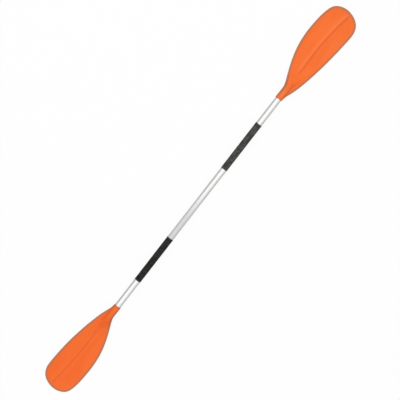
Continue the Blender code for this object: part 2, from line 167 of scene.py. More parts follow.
def skin(rows, loop=False):
    """One closed mesh from rings of points: the last ring joins the first, or both ends are capped."""
    shape = bmesh.new()
    rings = [[shape.verts.new(point) for point in row] for row in rows]
    pairs = list(zip(rings, rings[1:]))
    if loop:
        pairs.append((rings[-1], rings[0]))
    for first, second in pairs:
        for i in range(len(first)):
            j = (i + 1) % len(first)
            shape.faces.new((first[i], second[i], second[j], first[j]))
    if not loop:
        for ring in (rings[0], rings[-1]):
            middle = sum((vert.co for vert in ring), Vector()) / len(ring)
            centre = shape.verts.new(middle)
            for i in range(len(ring)):
                shape.faces.new((ring[i], ring[(i + 1) % len(ring)], centre))
    bmesh.ops.recalc_face_normals(shape, faces=shape.faces)
    mesh = bpy.data.meshes.new("skin")
    shape.to_mesh(mesh)
    shape.free()
    return mesh


def ring_angles(sides):
    return np.linspace(0.0, math.tau, sides, endpoint=False)


def turned(profile, loop=True, sides=SIDES, relief=None):
    """A mesh turned about the shaft's axis from a profile of (x, radius).

    relief(x, radius, angle) is added to a radius.
    """
    angle = ring_angles(sides)
    rows = []
    for x, radius in profile:
        reach = radius + (relief(x, radius, angle) if relief else 0.0) * np.ones(sides)
        rows.append([
            (x, r * math.cos(a), AXIS_HEIGHT + r * math.sin(a)) for r, a in zip(reach, angle)
        ])
    return skin(rows, loop)


def radial_turned(profile, x, loop=False, sides=40):
    """A mesh turned about the radius at x that points backwards.

    The profile is of (distance from the shaft's axis, radius).
    """
    rows = [
        [(x + r * math.cos(a), r * math.sin(a), AXIS_HEIGHT - distance) for a in ring_angles(sides)]
        for distance, r in profile
    ]
    return skin(rows, loop)


def arc(centre, radius, start, end, steps):
    """Points of a circular arc between two angles in degrees, in the profile's own plane."""
    return [
        (centre[0] + radius * math.cos(a), centre[1] + radius * math.sin(a))
        for a in np.radians(np.linspace(start, end, steps))
    ]


def smooth(mesh, angle=35):
    mesh.shade_smooth()
    mesh.set_sharp_from_angle(angle=math.radians(angle))


def cut(mesh, cutters):
    """The mesh with every cutter's shape taken out of it."""
    body = bpy.data.objects.new("cut_body", mesh)
    bpy.context.scene.collection.objects.link(body)
    tools = []
    for cutter in cutters:
        tool = bpy.data.objects.new("cut_tool", cutter)
        bpy.context.scene.collection.objects.link(tool)
        modifier = body.modifiers.new("cut", "BOOLEAN")
        modifier.operation = "DIFFERENCE"
        modifier.solver = "EXACT"
        modifier.object = tool
        tools.append(tool)
    shown = bpy.context.evaluated_depsgraph_get()
    made = bpy.data.meshes.new_from_object(body.evaluated_get(shown))
    for obj in (body, *tools):
        bpy.data.objects.remove(obj, do_unlink=True)
    return made


def drill(x, radius, surface, low=0.011, angle_deg=0.0, countersink=0.0):
    """A cutter for a radial hole, from low to past the surface, backwards when the angle is 0."""
    mouth = radius + countersink + DRILL_OVERRUN if countersink else radius
    profile = [(low, radius), (surface - countersink, radius)]
    profile += [(surface + DRILL_OVERRUN, mouth), (surface + 3 * DRILL_OVERRUN, mouth)]
    cutter = radial_turned(profile, x, sides=32)
    if angle_deg:
        axis = Matrix.Translation((0.0, 0.0, AXIS_HEIGHT))
        turn = Matrix.Rotation(math.radians(angle_deg), 4, "X")
        cutter.transform(axis @ turn @ axis.inverted())
    return cutter


def piece(name, mesh, finish, node, sharp=35):
    """A finished piece that stands for one CAD node and rides on that node's body."""
    smooth(mesh, sharp)
    obj = bpy.data.objects.new(name, mesh)
    bpy.context.scene.collection.objects.link(obj)
    mesh.materials.append(FINISHES[finish])
    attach(obj, BODY_OF[node])
    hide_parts(node)
    return obj


def add_values(mesh, name, values):
    """Stores one number for each point, which a finish reads by name."""
    mesh.attributes.new(name, "FLOAT", "POINT").data.foreach_set("value", values.astype(np.float32))


def mesh_points(mesh):
    flat = np.zeros(len(mesh.vertices) * 3, np.float32)
    mesh.vertices.foreach_get("co", flat)
    return flat.reshape(-1, 3).astype(float)


# ---------------------------------------------------------------- finishes
class Finish:
    """A Principled material whose colour, gloss and bump come from textures in the frame's own space."""

    def __init__(self, name, colour, roughness, metallic=0.0):
        self.material = bpy.data.materials.new(name)
        self.material.use_nodes = True
        self.tree = self.material.node_tree
        self.shader = self.tree.nodes["Principled BSDF"]
        self.shader.inputs["Base Color"].default_value = (*colour, 1.0)
        self.shader.inputs["Roughness"].default_value = roughness
        self.shader.inputs["Metallic"].default_value = metallic
        self.place = self.node("ShaderNodeTexCoord").outputs["Object"]
        self.height = None

    def node(self, kind, inputs=(), **settings):
        made = self.tree.nodes.new(kind)
        for key, value in settings.items():
            setattr(made, key, value)
        for key, value in dict(inputs).items():
            if isinstance(value, bpy.types.NodeSocket):
                self.tree.links.new(value, made.inputs[key])
            else:
                made.inputs[key].default_value = value
        return made

    def feed(self, socket, value):
        self.tree.links.new(value, self.shader.inputs[socket])

    def noise(self, scale, stretch=(1.0, 1.0, 1.0), detail=3.0, distortion=0.0):
        """Cloudy noise from about 0.3 to 0.7; scale is cells per metre before the stretch."""
        place = self.node("ShaderNodeMapping", {"Vector": self.place, "Scale": stretch}).outputs[0]
        inputs = {"Vector": place, "Scale": scale, "Detail": detail, "Distortion": distortion}
        return self.node("ShaderNodeTexNoise", inputs).outputs[0]

    def cells(self, scale):
        """Distance from the nearest of a scatter of points."""
        inputs = {"Vector": self.place, "Scale": scale}
        return self.node("ShaderNodeTexVoronoi", inputs).outputs["Distance"]

    def along(self, axis):
        """One coordinate of the frame, in metres."""
        return self.node("ShaderNodeSeparateXYZ", {0: self.place}).outputs[axis]

    def value(self, name):
        """A number stored on the mesh's points."""
        return self.node("ShaderNodeAttribute", attribute_name=name).outputs["Fac"]

    def spread(self, value, low, high, to_low=0.0, to_high=1.0):
        """Value from low to high, run smoothly to a new range."""
        inputs = {"Value": value, "From Min": low, "From Max": high, "To Min": to_low, "To Max": to_high}
        return self.node("ShaderNodeMapRange", inputs, interpolation_type="SMOOTHSTEP").outputs[0]

    def math(self, operation, first, second):
        return self.node("ShaderNodeMath", {0: first, 1: second}, operation=operation).outputs[0]

    def mix(self, factor, first, second):
        """Between two colours, each a socket or three numbers."""
        ends = [c if isinstance(c, bpy.types.NodeSocket) else (*c, 1.0) for c in (first, second)]
        inputs = {"Factor": factor, 6: ends[0], 7: ends[1]}
        return self.node("ShaderNodeMix", inputs, data_type="RGBA").outputs[2]

    def bump(self, height, depth, strength=1.0):
        """Adds a relief of that depth in metres to the ones before it."""
        inputs = {"Height": height, "Distance": depth, "Strength": strength}
        if self.height is not None:
            inputs["Normal"] = self.height
        self.height = self.node("ShaderNodeBump", inputs).outputs[0]
        self.feed("Normal", self.height)


def orange_plastic():
    """Moulded nylon: fine eroded grain, faint flow marks, scratches near the tip and edges, and painted
    shade along the rim.

    Painted light makes the right moulding paler, with a stronger painted highlight along the ridge and the
    neck's top; painted shade darkens the left one's root. Both carry a painted dark line on the ridge's
    steep side.
    """
    finish = Finish("orange_plastic", (0.90, 0.14, 0.016), 0.42)
    finish.shader.inputs["Specular IOR Level"].default_value = 0.28
    flow = finish.spread(finish.noise(11.0, (0.5, 1.4, 1.0), 4.0, 0.6), 0.35, 0.65)
    deep = finish.mix(flow, (0.915, 0.137, 0.010), (0.95, 0.155, 0.015))
    pale = finish.mix(flow, (0.905, 0.150, 0.014), (0.945, 0.172, 0.021))
    # Painted light: the right moulding is painted paler than the left one, for the stronger light on the
    # right end.
    body = finish.mix(finish.spread(finish.along("X"), -0.75, 0.75), deep, pale)
    grain = finish.noise(900.0, detail=2.0)
    body = finish.mix(finish.spread(grain, 0.3, 0.7, 0.0, 0.35), body, (0.82, 0.108, 0.010))
    # Painted shade: a dark line along the foot of the ridge's steep side.
    crease = finish.math("MULTIPLY", finish.value("crease"), 0.42)
    body = finish.mix(crease, body, (0.62, 0.075, 0.008))
    # Painted highlight: a pale line on the ridge's gentle side and along the neck's top, stronger on the
    # right blade.
    rub_and_painted_highlight = finish.spread(finish.along("X"), -0.3, 0.3, 0.08, 0.30)
    body = finish.mix(finish.math("MULTIPLY", finish.value("crest"), rub_and_painted_highlight), body, (1.0, 0.25, 0.070))
    # Painted shade: a dark patch where the neck runs out, mostly on the left blade.
    root_shade_by_side = finish.spread(finish.along("X"), -0.3, 0.3, 0.35, 0.03)
    body = finish.mix(finish.math("MULTIPLY", finish.value("root"), root_shade_by_side), body, (0.66, 0.075, 0.004))
    # Painted shade: a dark band along the rim and round the neck's mouth.
    rim_shade_amount = finish.spread(finish.value("rim"), 0.0, 1.0, 0.0, 0.78)
    body = finish.mix(rim_shade_amount, body, (0.40, 0.165, 0.076))
    scratches = finish.noise(60.0, (0.35, 14.0, 4.0), 5.0, 1.2)
    worn = finish.math("MULTIPLY", finish.spread(scratches, 0.60, 0.68), finish.value("wear"))
    body = finish.mix(finish.math("MULTIPLY", worn, 0.35), body, (0.95, 0.42, 0.22))
    finish.feed("Base Color", body)
    gloss = finish.spread(finish.noise(40.0, detail=4.0), 0.3, 0.7, 0.36, 0.48)
    finish.feed("Roughness", finish.math("ADD", gloss, finish.math("MULTIPLY", worn, 0.2)))
    finish.bump(grain, 0.00006, 0.5)
    finish.bump(scratches, 0.00005, 0.25)
    return finish.material


def aluminium():
    """Drawn tube: lengthwise draw lines, and rub rings where the ferrule turns.

    Beside the left grip it is more matt, and painted shade makes it a little greyer; both fade out towards
    the right one.
    """
    finish = Finish("aluminium", (0.80, 0.80, 0.80), 0.34, 1.0)
    lines = finish.noise(30.0, (0.12, 60.0, 60.0), 4.0)
    middle = finish.spread(finish.along("X"), -0.15, 0.20)
    outer = finish.spread(finish.along("X"), -0.42, -0.30, 1.0, 0.0)
    tone = finish.math("MAXIMUM", middle, outer)
    # Painted shade: greyer beside the left grip, paler towards the middle and the right.
    painted_shade_tube_colour = finish.mix(tone, (0.76, 0.76, 0.76), (0.91, 0.91, 0.90))
    cloud = finish.spread(finish.noise(25.0, detail=4.0), 0.35, 0.65, 0.0, 0.5)
    finish.feed("Base Color", finish.mix(finish.math("MULTIPLY", cloud, 0.3), painted_shade_tube_colour, (0.80, 0.80, 0.79)))
    rings = finish.noise(30.0, (50.0, 0.3, 0.3), 3.0)
    turned_part = finish.spread(finish.math("ABSOLUTE", finish.along("X"), 0.0), 0.02, 0.11, 1.0, 0.0)
    rub_and_painted_highlight = finish.math("MULTIPLY", finish.spread(rings, 0.52, 0.62), turned_part)
    drawn = finish.spread(lines, 0.3, 0.7, 0.30, 0.42)
    gloss = finish.math("ADD", drawn, finish.math("MULTIPLY", rub_and_painted_highlight, 0.08))
    matt = finish.spread(tone, 0.0, 1.0, 0.38, 0.0)
    finish.feed("Roughness", finish.math("ADD", gloss, matt))
    finish.bump(lines, 0.00002, 0.5)
    finish.bump(rub_and_painted_highlight, 0.00001, 0.4)
    return finish.material


def grip_rubber():
    """Shrunk sleeve: matt grain, with the raised strands polished by hands, and painted light that makes
    the right one paler.
    """
    finish = Finish("grip_rubber", (0.022, 0.022, 0.022), 0.7)
    finish.shader.inputs["Specular IOR Level"].default_value = 0.2
    grain = finish.noise(1100.0, detail=3.0)
    patches = finish.spread(finish.noise(80.0, detail=3.0), 0.38, 0.62)
    darker_grip_colour = finish.mix(patches, (0.001, 0.001, 0.001), (0.018, 0.018, 0.017))
    painted_light_grip_colour = finish.mix(patches, (0.028, 0.027, 0.026), (0.074, 0.073, 0.066))
    # Painted light: the right grip is painted paler than the left one.
    base = finish.mix(finish.spread(finish.along("X"), -0.1, 0.1), darker_grip_colour, painted_light_grip_colour)
    raised = finish.value("raised")
    base = finish.mix(finish.math("MULTIPLY", raised, 0.25), base, (0.085, 0.083, 0.078))
    finish.feed("Base Color", base)
    gloss = finish.spread(raised, 0.0, 1.0, 0.78, 0.58)
    finish.feed("Roughness", finish.math("ADD", gloss, finish.spread(grain, 0.3, 0.7, -0.05, 0.05)))
    finish.bump(grain, 0.00012, 0.6)
    return finish.material


def black_nylon():
    """Turned nylon with lengthwise slide marks."""
    finish = Finish("black_nylon", (0.022, 0.022, 0.024), 0.48)
    marks = finish.noise(30.0, (0.2, 25.0, 25.0), 4.0)
    finish.feed("Base Color", finish.mix(
        finish.spread(marks, 0.50, 0.66, 0.0, 0.6), (0.018, 0.018, 0.020), (0.060, 0.060, 0.062)
    ))
    finish.feed("Roughness", finish.spread(finish.noise(300.0), 0.3, 0.7, 0.40, 0.55))
    finish.bump(finish.noise(700.0, detail=2.0), 0.00004, 0.5)
    finish.bump(marks, 0.00003, 0.4)
    return finish.material


def steel():
    """Stainless steel with fine polishing marks."""
    finish = Finish("steel", (0.60, 0.60, 0.61), 0.24, 1.0)
    polish = finish.noise(250.0, (1.0, 9.0, 1.0), 3.0)
    finish.feed("Base Color", finish.mix(
        finish.spread(polish, 0.35, 0.65), (0.56, 0.56, 0.57), (0.66, 0.66, 0.66)
    ))
    finish.feed("Roughness", finish.spread(polish, 0.3, 0.7, 0.18, 0.32))
    finish.bump(polish, 0.00001, 0.4)
    return finish.material


def foam():
    """Closed-cell foam with open cells where it was cut."""
    finish = Finish("foam", (0.66, 0.66, 0.62), 0.9)
    pores = finish.cells(1400.0)
    finish.feed("Base Color", finish.mix(
        finish.spread(pores, 0.1, 0.6), (0.40, 0.40, 0.37), (0.72, 0.72, 0.68)
    ))
    finish.feed("Roughness", finish.spread(pores, 0.1, 0.6, 0.95, 0.85))
    finish.bump(pores, 0.0003, 0.8)
    return finish.material


def seal_rubber():
    """Greased nitrile rubber."""
    finish = Finish("seal_rubber", (0.016, 0.016, 0.017), 0.4)
    smear = finish.noise(180.0, (1.0, 3.0, 3.0), 3.0)
    finish.feed("Base Color", finish.mix(
        finish.spread(smear, 0.4, 0.7), (0.012, 0.012, 0.013), (0.028, 0.028, 0.028)
    ))
    finish.feed("Roughness", finish.spread(smear, 0.35, 0.65, 0.28, 0.5))
    finish.bump(finish.noise(900.0), 0.00003, 0.4)
    return finish.material


# ---------------------------------------------------------------- blade surface
def smoothstep(value, low, high):
    part = np.clip((np.asarray(value, float) - low) / (high - low), 0.0, 1.0)
    return part * part * (3.0 - 2.0 * part)


def smooth_curve(points):
    """The natural cubic through the points: (a function from length along it, length at each point)."""
    points = np.array(points)
    knots = np.concatenate([[0.0], np.cumsum(np.linalg.norm(np.diff(points, axis=0), axis=1))])
    step = np.diff(knots)
    count = len(points)
    system = np.eye(count)
    right = np.zeros((count, 2))
    slope = np.diff(points, axis=0) / step[:, None]
    for i in range(1, count - 1):
        system[i, i - 1:i + 2] = step[i - 1], 2 * (step[i - 1] + step[i]), step[i]
        right[i] = 6 * (slope[i] - slope[i - 1])
    bend = np.linalg.solve(system, right)

    def at_knot(value):
        i = np.clip(np.searchsorted(knots, value, side="right") - 1, 0, count - 2)
        before = (knots[i + 1] - value)[:, None]
        after = (value - knots[i])[:, None]
        gap = step[i][:, None]
        return (
            (bend[i] * before ** 3 + bend[i + 1] * after ** 3) / (6 * gap)
            + (points[i] / gap - bend[i] * gap / 6) * before
            + (points[i + 1] / gap - bend[i + 1] * gap / 6) * after
        )

    fine = np.linspace(0.0, knots[-1], 4000)
    pieces = np.linalg.norm(np.diff(at_knot(fine), axis=0), axis=1)
    length = np.concatenate([[0.0], np.cumsum(pieces)])
    return lambda along: at_knot(np.interp(along, length, fine)), np.interp(knots, fine, length)


def ridge_y(x):
    """The ridge follows the shaft's line, then bends towards the straight edge."""
    bend = np.clip((x - RIDGE_BEND_START) / (BLADE_LENGTH - RIDGE_BEND_START), 0.0, None)
    return -RIDGE_BEND * bend ** 2


def outline_distance(x, y, outline):
    """Distance in plan from each point to the blade's outline."""
    start, end = outline[:-1], outline[1:]
    run = end - start
    size = (run ** 2).sum(axis=1)
    nearest = np.full(np.shape(x), np.inf)
    for (sx, sy), (rx, ry), length2 in zip(start, run, size):
        along = np.clip(((x - sx) * rx + (y - sy) * ry) / length2, 0.0, 1.0)
        nearest = np.minimum(nearest, np.hypot(x - sx - along * rx, y - sy - along * ry))
    return nearest


def middle_height(x, y):
    """The blade's middle surface: spooned along its length and cupped across it."""
    dip = -CAMBER_DEPTH * smoothstep(x, CAMBER_START, CAMBER_LOW)
    rise = TIP_RISE * np.clip((x - CAMBER_LOW) / (BLADE_LENGTH - CAMBER_LOW), 0.0, None) ** 2
    cup = CUP_DEPTH * smoothstep(x, *CUP_RAMP) * (y / CUP_HALF_WIDTH) ** 2
    return dip + rise + cup


def half_sheet(y, distance):
    """Half the moulding's thickness, rounded off along the rim."""
    flat = EDGE_HALF + (SHEET_HALF - EDGE_HALF) * np.exp(-((y / 0.045) ** 2))
    inside = np.clip(distance / RIM_WIDTH, 0.0, 1.0)
    return flat * np.sqrt(1.0 - (1.0 - inside) ** 2)


def neck_bulge(x, y, fade, end_radius):
    """How far the round neck stands off the middle surface, running out over the fade."""
    left = 1.0 - smoothstep(x, *fade)
    radius = end_radius + (NECK_RADIUS - end_radius) * left
    return NECK_RADIUS * left * np.sqrt(np.clip(1.0 - (y / radius) ** 2, 0.0, None))


def filleted(x, sheet, bulge):
    """The higher of sheet and bulge, with a fillet in the corner that grows away from the mouth."""
    width = 0.0010 + 0.0120 * smoothstep(x, 0.010, 0.080)
    apart = np.clip(1.0 - np.abs(sheet - bulge) / width, 0.0, None)
    corner = np.clip(sheet / EDGE_HALF, 0.0, 1.0) * np.clip(bulge / EDGE_HALF, 0.0, 1.0)
    return np.maximum(sheet, bulge) + corner * width * apart ** 2 / 4


def ridge_length(x):
    """1 along the ridge, and 0 before it starts and after it ends."""
    return smoothstep(x, RIDGE_START, RIDGE_FULL) * (1.0 - smoothstep(x, *RIDGE_END))


def ridge_relief(x, y):
    """The power face's ridge: steep towards the straight edge, gentle towards the curved one."""
    across = y - ridge_y(x)
    reach = np.where(across < 0.0, 0.004, 0.030)
    return RIDGE_HEIGHT * ridge_length(x) * np.exp(-np.abs(across) / reach)


def face_height(x, y, distance):
    inner = np.clip(distance / RIM_WIDTH, 0.0, 1.0)
    sheet = half_sheet(y, distance) + ridge_relief(x, y) * inner
    return middle_height(x, y) + filleted(x, sheet, neck_bulge(x, y, FACE_RAMP, FACE_END_RADIUS))


def back_height(x, y, distance):
    sheet = half_sheet(y, distance)
    back = middle_height(x, y) - filleted(x, sheet, neck_bulge(x, y, BACK_RIB, BACK_RIB_RADIUS))
    return np.maximum(back, -AXIS_HEIGHT)


def round_ring(first, x, radius):
    """A circle with its points at the same angles as the first ring's."""
    angles = [math.atan2(z, y) for _, y, z in first]
    return [(x, radius * math.cos(a), radius * math.sin(a)) for a in angles]


def blade_rows(outline, edge, lengths):
    """Rings from the neck's mouth to just before the tip, each over the power face and back underneath."""
    whole, ridge_end = lengths[-1], lengths[len(STRAIGHT_EDGE) - 1]
    turn = np.linspace(0.0, 1.0, BLADE_STATIONS + 1)
    along = turn - 0.5 * np.sin(math.tau * turn) / math.tau
    straight = edge(along * ridge_end)
    curved = edge(whole - along * (whole - ridge_end))
    tip_x = STRAIGHT_EDGE[-1][0]
    ridge_x = (whole - ridge_end) * along - (whole - ridge_end - tip_x) * along ** 3
    ridge = np.stack([ridge_x, ridge_y(ridge_x)], axis=1)
    ridge[-1] = STRAIGHT_EDGE[-1]
    spread = 0.5 * (1.0 - np.cos(math.pi * np.linspace(0.0, 1.0, BLADE_COLUMNS + 1)))
    rows = []
    for k in range(BLADE_STATIONS):
        left = ridge[k] + (straight[k] - ridge[k]) * spread[::-1, None]
        right = ridge[k] + (curved[k] - ridge[k]) * spread[1:, None]
        x, y = np.concatenate([left, right]).T
        distance = outline_distance(x, y, outline)
        distance[[0, -1]] = 0.0
        if k == 0:
            distance[1:-1] = RIM_WIDTH
        upper = list(zip(x, y, face_height(x, y, distance)))
        lower = list(zip(x, y, back_height(x, y, distance)))[-2:0:-1]
        rows.append(upper + lower)
    return rows


def add_blade_tones(mesh, outline):
    """Stores how far each of the moulding's painted shades, painted highlights and its wear apply at every
    point.
    """
    x, y, z = mesh_points(mesh).T
    distance = outline_distance(x, y, outline)
    # Painted shade in a band along the rim and round the neck's mouth.
    band = np.exp(-((distance - RIM_SHADE_MIDDLE) / RIM_SHADE_WIDTH) ** 2) * smoothstep(x, -0.060, 0.080)
    add_values(mesh, "rim", np.maximum(band, 0.6 * np.exp(-(x / MOUTH_SHADE) ** 2)))
    on_face = z - AXIS_HEIGHT > middle_height(x, y)
    across = y - ridge_y(x)
    along = ridge_length(x)
    # Painted shade along the foot of the ridge's steep side.
    crease = along * np.exp(-((across - CREASE_MIDDLE) / CREASE_WIDTH) ** 2)
    add_values(mesh, "crease", on_face * crease)
    # Painted highlight along the ridge's gentle side and the top of the neck.
    on_neck = smoothstep(x, 0.0, 0.012) * (1.0 - smoothstep(x, 0.035, 0.060))
    crest = along * np.exp(-((across - CREST_MIDDLE) / CREST_WIDTH) ** 2)
    crest += on_neck * np.exp(-(y / NECK_CREST_WIDTH) ** 2)
    add_values(mesh, "crest", on_face * crest)
    # Painted shade where the neck runs out.
    from_root = ((x - ROOT_CENTRE[0]) / ROOT_REACH[0]) ** 2 + ((y - ROOT_CENTRE[1]) / ROOT_REACH[1]) ** 2
    add_values(mesh, "root", on_face * np.exp(-from_root))
    near_tip = smoothstep(x, 0.36, 0.48) * np.exp(-distance / 0.025)
    near_edge = 0.5 * np.exp(-distance / 0.006)
    wear = np.clip(near_tip + near_edge, 0.0, 1.0) * smoothstep(x, 0.004, 0.020)
    add_values(mesh, "wear", wear)


def blade_mesh():
    """The moulding in its own frame: x from the neck's mouth, y and z from the shaft's axis."""
    edge, lengths = smooth_curve(STRAIGHT_EDGE + CURVED_EDGE[-2::-1])
    outline = edge(np.linspace(0.0, lengths[-1], 500))
    rows = blade_rows(outline, edge, lengths)
    mouth = rows[0]
    socket = TUBE_RADIUS + CLEARANCE
    inner = [(SOCKET_DEPTH, socket), (MOUTH_LIP, socket), (0.0, socket + MOUTH_LIP * 0.6)]
    lip = [(0.0, NECK_RADIUS - MOUTH_LIP)]
    rows = [round_ring(mouth, *size) for size in inner + lip] + rows[1:]
    rows.insert(len(inner + lip), [(MOUTH_LIP, y, z) for _, y, z in mouth])
    mesh = skin(rows)
    mesh.transform(Matrix.Translation((0.0, 0.0, AXIS_HEIGHT)))
    places = [middle_x(f"right_blade_rivet_{n}") - MOUTH_X for n in (1, 2)]
    mesh = cut(mesh, [drill(place, RIVET_HOLE, NECK_RADIUS) for place in places])
    add_blade_tones(mesh, outline)
    return mesh


# ---------------------------------------------------------------- pieces
def make_blades():
    """One moulding used twice, turned half a turn about the vertical for the left blade."""
    shape = blade_mesh()
    for side, word in ((1, "right"), (-1, "left")):
        mesh = shape.copy()
        place = Matrix.Translation((side * MOUTH_X, 0.0, 0.0))
        mesh.transform(place @ Matrix.Rotation(0.0 if side > 0 else math.pi, 4, "Z"))
        piece(f"{word}_blade_moulding", mesh, "orange_plastic", f"{word}_blade", 40)
    bpy.data.meshes.remove(shape)


def tube_profile(low_x, high_x):
    """A drawn tube's wall with eased ends, with closer rings where holes are drilled."""
    ease = TUBE_EASE
    outer = [(low_x, TUBE_RADIUS - ease)]
    outer += [(low_x + ease * (1 - math.cos(a)), TUBE_RADIUS - ease * (1 - math.sin(a)))
              for a in np.radians((30, 60, 90))]
    count = max(2, round((high_x - low_x) / 0.006))
    outer += [(x, TUBE_RADIUS) for x in np.linspace(low_x, high_x, count)[1:-1]]
    outer += [(high_x - ease * (1 - math.cos(a)), TUBE_RADIUS - ease * (1 - math.sin(a)))
              for a in np.radians((90, 60, 30))]
    outer += [(high_x, TUBE_RADIUS - ease)]
    inner = [(high_x, TUBE_BORE + ease), (high_x - ease, TUBE_BORE)]
    inner += [(low_x + ease, TUBE_BORE), (low_x, TUBE_BORE + ease)]
    return outer + inner


def make_tubes():
    """The two shaft tubes, drilled for their rivets, and the left one for the button's three places."""
    button_x = middle_x("snap_button")
    rivets_in = {"left": [], "right": ["ferrule_rivet_1", "ferrule_rivet_2"]}
    for word in ("left", "right"):
        node = f"{word}_shaft_tube"
        low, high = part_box(node)
        rivets_in[word] += [f"{word}_blade_rivet_{n}" for n in (1, 2)]
        holes = [drill(middle_x(name), RIVET_HOLE, TUBE_RADIUS) for name in rivets_in[word]]
        if word == "left":
            holes += [
                drill(button_x, BUTTON_HOLE, TUBE_RADIUS, 0.0115, angle, countersink=BUTTON_CHAMFER)
                for angle in FEATHER_ANGLES
            ]
        mesh = cut(turned(tube_profile(low.x, high.x)), holes)
        piece(f"{word}_tube_drawn", mesh, "aluminium", node)


def strand_height(x, angle):
    """Two families of strands, each over and under the other by turns: 0 between them, 1 on top."""
    first = GRIP_STRANDS * angle / math.tau + x / GRIP_PITCH
    second = GRIP_STRANDS * angle / math.tau - x / GRIP_PITCH
    made = np.zeros(np.shape(angle))
    for own, other, sign in ((first, second, 1), (second, first, -1)):
        number = np.round(own)
        hump = np.exp(-((own - number) / GRIP_STRAND_WIDTH) ** 2)
        lift = 0.75 + 0.25 * sign * np.cos(math.pi * (other + number))
        made = np.maximum(made, hump * lift)
    return made


def make_grips():
    """Sleeves with a woven relief between two plain bands."""
    for word in ("left", "right"):
        node = f"{word}_grip"
        low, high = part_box(node)
        inner, outer = TUBE_RADIUS + CLEARANCE, (high.z - low.z) / 2
        ease = (outer - inner) * 0.6

        def relief(x, radius, angle):
            if radius < outer - 1e-6:
                return 0.0
            from_end = min(x - low.x, high.x - x)
            patterned = float(smoothstep(from_end, GRIP_BAND, GRIP_BAND + 0.003))
            return -GRIP_RELIEF * patterned * (1.0 - strand_height(x, angle))

        turn = np.radians(np.linspace(0, 90, 5))[1:]
        corner = [(ease * (1 - math.cos(a)), outer - ease * (1 - math.sin(a))) for a in turn]
        profile = [(low.x, inner), (low.x, outer - ease)]
        profile += [(low.x + inward, radius) for inward, radius in corner]
        profile += [(x, outer) for x in np.linspace(low.x + ease, high.x - ease, 320)[1:-1]]
        profile += [(high.x - inward, radius) for inward, radius in corner[::-1]]
        profile += [(high.x, outer - ease), (high.x, inner)]
        mesh = turned(profile, sides=160, relief=relief)
        x, y, z = mesh_points(mesh).T
        reach = np.hypot(y, z - AXIS_HEIGHT)
        add_values(mesh, "raised", smoothstep(reach, outer - GRIP_RELIEF, outer))
        piece(f"{word}_grip_sleeve", mesh, "grip_rubber", node)


def make_rivets():
    """Blind rivets: domed heads with the mandrel's hole in the middle, and a rolled tail."""
    brim, crown = 0.0004, 0.0010
    names = [f"{word}_blade_rivet_{n}" for word in ("left", "right") for n in (1, 2)]
    for node in names + ["ferrule_rivet_1", "ferrule_rivet_2"]:
        low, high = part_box(node)
        top, tail = AXIS_HEIGHT - low.z, AXIS_HEIGHT - high.z
        seat = top - brim - crown
        dome = [
            (seat + brim + crown * math.cos(a), RIVET_HEAD * math.sin(a))
            for a in np.radians(np.linspace(16, 90, 9))
        ]
        rolled = arc((tail + 0.0012, RIVET_SHANK * 0.5), RIVET_SHANK * 0.85, 0, 180, 9)[:-1]
        profile = [(top - 0.0009, MANDREL_HOLE * 0.9), (top - 0.0001, MANDREL_HOLE)]
        profile += dome + [(seat, RIVET_HEAD), (seat, RIVET_SHANK)]
        profile += [(tail + 0.0034, RIVET_SHANK)] + rolled + [(tail, RIVET_SHANK * 0.3)]
        mesh = radial_turned(profile, middle_x(node))
        piece(f"{node}_set", mesh, "aluminium", node)


def make_spigot():
    """Nylon ferrule with a rounded lead-in, a seal groove and holes for its button and rivets."""
    low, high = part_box("ferrule_spigot")
    seal_low, seal_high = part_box("seal_ring")
    radius = (high.z - low.z) / 2
    groove = (seal_low.x - CLEARANCE, seal_high.x + CLEARANCE)
    floor = SEAL_RADIUS - (seal_high.x - seal_low.x) / 2 - CLEARANCE
    lead = 0.0015
    nose = [(low.x + lead * (1 - math.cos(a)), radius - lead * (1 - math.sin(a)))
            for a in np.radians(np.linspace(0, 90, 7))]
    profile = [(low.x, SPIGOT_BORE)] + nose
    profile += [(groove[0] - 0.0002, radius), (groove[0], radius - 0.0002), (groove[0], floor)]
    profile += [(groove[1], floor), (groove[1], radius - 0.0002), (groove[1] + 0.0002, radius)]
    profile += [(x, radius) for x in np.linspace(groove[1] + 0.004, high.x - 0.0005, 30)]
    profile += [(high.x, radius - 0.0005), (high.x, SPIGOT_BORE + 0.0003)]
    profile += [(high.x - 0.0003, SPIGOT_BORE)]
    holes = [drill(middle_x("snap_button"), BUTTON_HOLE, radius, 0.009)]
    holes += [drill(middle_x(f"ferrule_rivet_{n}"), RIVET_HOLE, radius, 0.008) for n in (1, 2)]
    piece("ferrule_spigot_turned", cut(turned(profile), holes), "black_nylon", "ferrule_spigot")


def make_seal():
    """A plain round-section ring that sits in the spigot's groove."""
    low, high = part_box("seal_ring")
    radius = (high.x - low.x) / 2
    section = [
        (middle_x("seal_ring") + radius * math.sin(a), SEAL_RADIUS + radius * math.cos(a))
        for a in ring_angles(20)
    ]
    piece("seal_ring_moulded", turned(section, sides=120), "seal_rubber", "seal_ring")


def make_bungs():
    """Foam plugs with crowned ends and a slightly uneven cut."""
    for word in ("left", "right"):
        node = f"{word}_foam_bung"
        low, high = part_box(node)
        radius, ease = (high.z - low.z) / 2, 0.0022

        def uneven(x, _, angle):
            wave = np.sin(7 * angle + 900 * x) + np.sin(11 * angle - 1500 * x)
            return -0.00006 * (1.0 + 0.5 * wave)

        def corner(end, way):
            turn = np.radians(np.linspace(0, 90, 6))
            return [(end + way * ease * (1 - math.cos(a)), radius - ease * (1 - math.sin(a))) for a in turn]

        profile = corner(low.x, 1) + [(x, radius) for x in np.linspace(low.x + 0.004, high.x - 0.004, 12)]
        profile += corner(high.x, -1)[::-1]
        mesh = turned(profile, loop=False, sides=72, relief=uneven)
        piece(f"{word}_foam_bung_cut", mesh, "foam", node)


